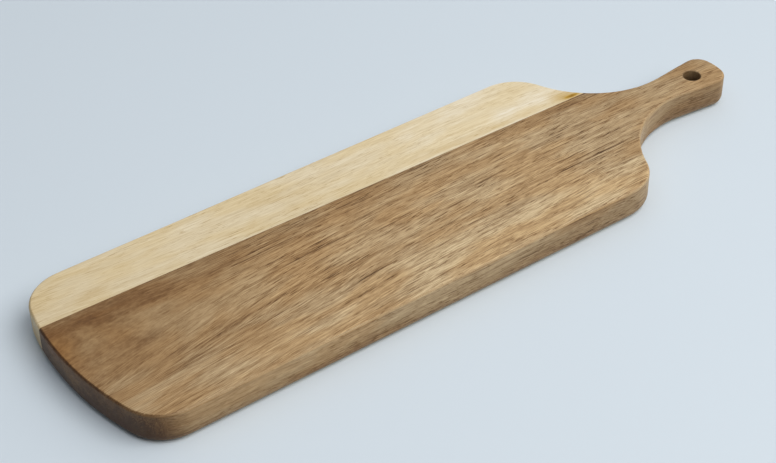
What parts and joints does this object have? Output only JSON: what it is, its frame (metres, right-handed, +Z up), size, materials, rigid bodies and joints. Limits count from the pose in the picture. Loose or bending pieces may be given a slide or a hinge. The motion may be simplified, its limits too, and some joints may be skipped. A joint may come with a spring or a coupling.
{
  "type": "paddle serving board",
  "caption": "Long wooden paddle board for serving, with rounded body, curved shoulders running into a short flared handle, and a hanging hole.",
  "frame": {"origin": "centre of the bounding box, on the plane of the underside", "axes": "+X along the board towards the handle's end, +Y towards the pale stave, +Z up out of the serving face"},
  "size_m": [0.41, 0.12, 0.018],
  "materials": {
    "heartwood": "oiled",
    "sapwood": "oiled",
    "glue": "matte"
  },
  "bodies": {
    "root": {"heartwood_stave": "heartwood", "sapwood_stave": "sapwood", "glue_line": "glue"}
  },
  "joints": []
}
